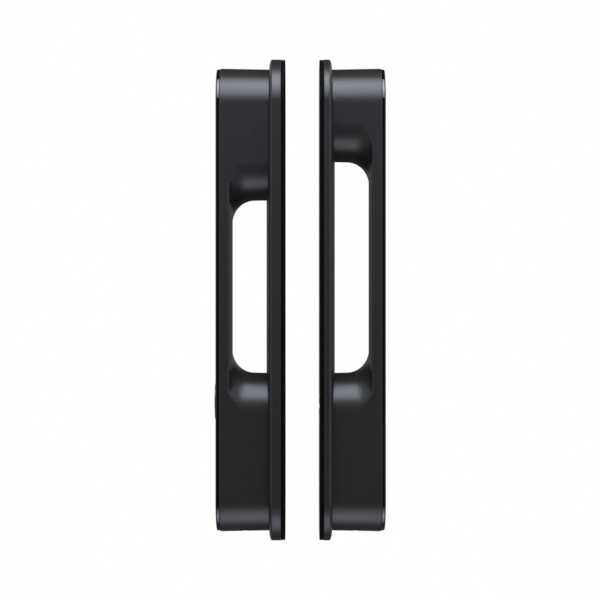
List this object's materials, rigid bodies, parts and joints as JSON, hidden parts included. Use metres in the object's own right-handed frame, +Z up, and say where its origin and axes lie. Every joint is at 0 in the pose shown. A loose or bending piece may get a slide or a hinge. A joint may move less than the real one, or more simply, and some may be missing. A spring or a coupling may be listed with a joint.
{
  "type": "keypad smart lock",
  "caption": "Pair of upright round-ended door units with grip handles: keypad and key cylinder outside, thumbturn and battery bay inside.",
  "frame": {"origin": "middle of the outer unit's door face (the back of its gasket), at mid height", "axes": "+X from outside to inside, square to the door; +Y across the door; +Z up"},
  "size_m": [0.1408, 0.078, 0.4],
  "materials": {
    "gasket_rubber": "matt black moulded rubber",
    "powder_coated_zinc": "fine-grained dark grey powder coat on cast metal",
    "black_glass": "polished black cover glass",
    "diffuser_plastic": "translucent white",
    "circuit_board": "green solder mask",
    "dark_anodised_aluminium": "dark grey anodised, turned",
    "black_gloss_plastic": "piano black",
    "black_moulded_plastic": "satin moulded",
    "nickel_plated_steel": "bright nickel",
    "brass": "machined",
    "zinc_plated_steel": "bright zinc",
    "white_acetal": "natural white"
  },
  "bodies": {
    "outer_unit": {"outer_gasket": "gasket_rubber", "outer_plate": "powder_coated_zinc", "outer_body": "powder_coated_zinc", "outer_glass": "black_glass", "keypad_light_guide": "diffuser_plastic", "keypad_leds": "diffuser_plastic", "keypad_board": "circuit_board", "fingerprint_ring": "dark_anodised_aluminium", "fingerprint_sensor": "black_gloss_plastic", "outer_main_board": "circuit_board", "speaker": "black_moulded_plastic", "card_antenna": "circuit_board", "outer_usb_port": "nickel_plated_steel", "key_well": "black_moulded_plastic", "cylinder_housing": "brass", "threaded_posts": "zinc_plated_steel", "outer_body_screws": "zinc_plated_steel", "outer_connector": "white_acetal"},
    "key_cap": {"key_cap": "black_gloss_plastic", "cap_magnet": "nickel_plated_steel"},
    "key_plug": {"key_plug": "brass", "plug_clip": "zinc_plated_steel", "tailpiece": "zinc_plated_steel"},
    "inner_unit": {"inner_gasket": "gasket_rubber", "mounting_plate": "zinc_plated_steel", "inner_plate": "powder_coated_zinc", "inner_body": "powder_coated_zinc", "inner_glass": "black_glass", "battery_pack": "black_moulded_plastic", "battery_contacts": "brass", "thumbturn_bush": "white_acetal", "inner_main_board": "circuit_board", "buzzer": "black_moulded_plastic", "inner_usb_port": "nickel_plated_steel", "inner_body_screws": "zinc_plated_steel", "retaining_screws": "zinc_plated_steel", "inner_connector": "white_acetal"},
    "battery_cover": {"battery_cover": "black_gloss_plastic"},
    "thumbturn": {"thumbturn": "black_gloss_plastic", "thumbturn_shaft": "zinc_plated_steel", "thumbturn_clip": "zinc_plated_steel"}
  },
  "joints": [
    {"name": "door_thickness", "type": "slide", "parent": "outer_unit", "child": "inner_unit", "axis": [1, 0, 0], "range_m": [0, 0.08]},
    {"name": "key_cap_lift", "type": "slide", "parent": "outer_unit", "child": "key_cap", "axis": [-1, 0, 0], "range_m": [0, 0.02]},
    {"name": "key_turn", "type": "hinge", "parent": "outer_unit", "child": "key_plug", "pos_m": [-0.03, 0, -0.0841], "axis": [1, 0, 0], "range_deg": [-90, 90]},
    {"name": "thumbturn_turn", "type": "hinge", "parent": "inner_unit", "child": "thumbturn", "pos_m": [0.06, 0, -0.0841], "axis": [1, 0, 0], "range_deg": [-90, 90]},
    {"name": "battery_cover_slide", "type": "slide", "parent": "inner_unit", "child": "battery_cover", "axis": [0, 0, -1], "range_m": [0, 0.0085]}
  ]
}
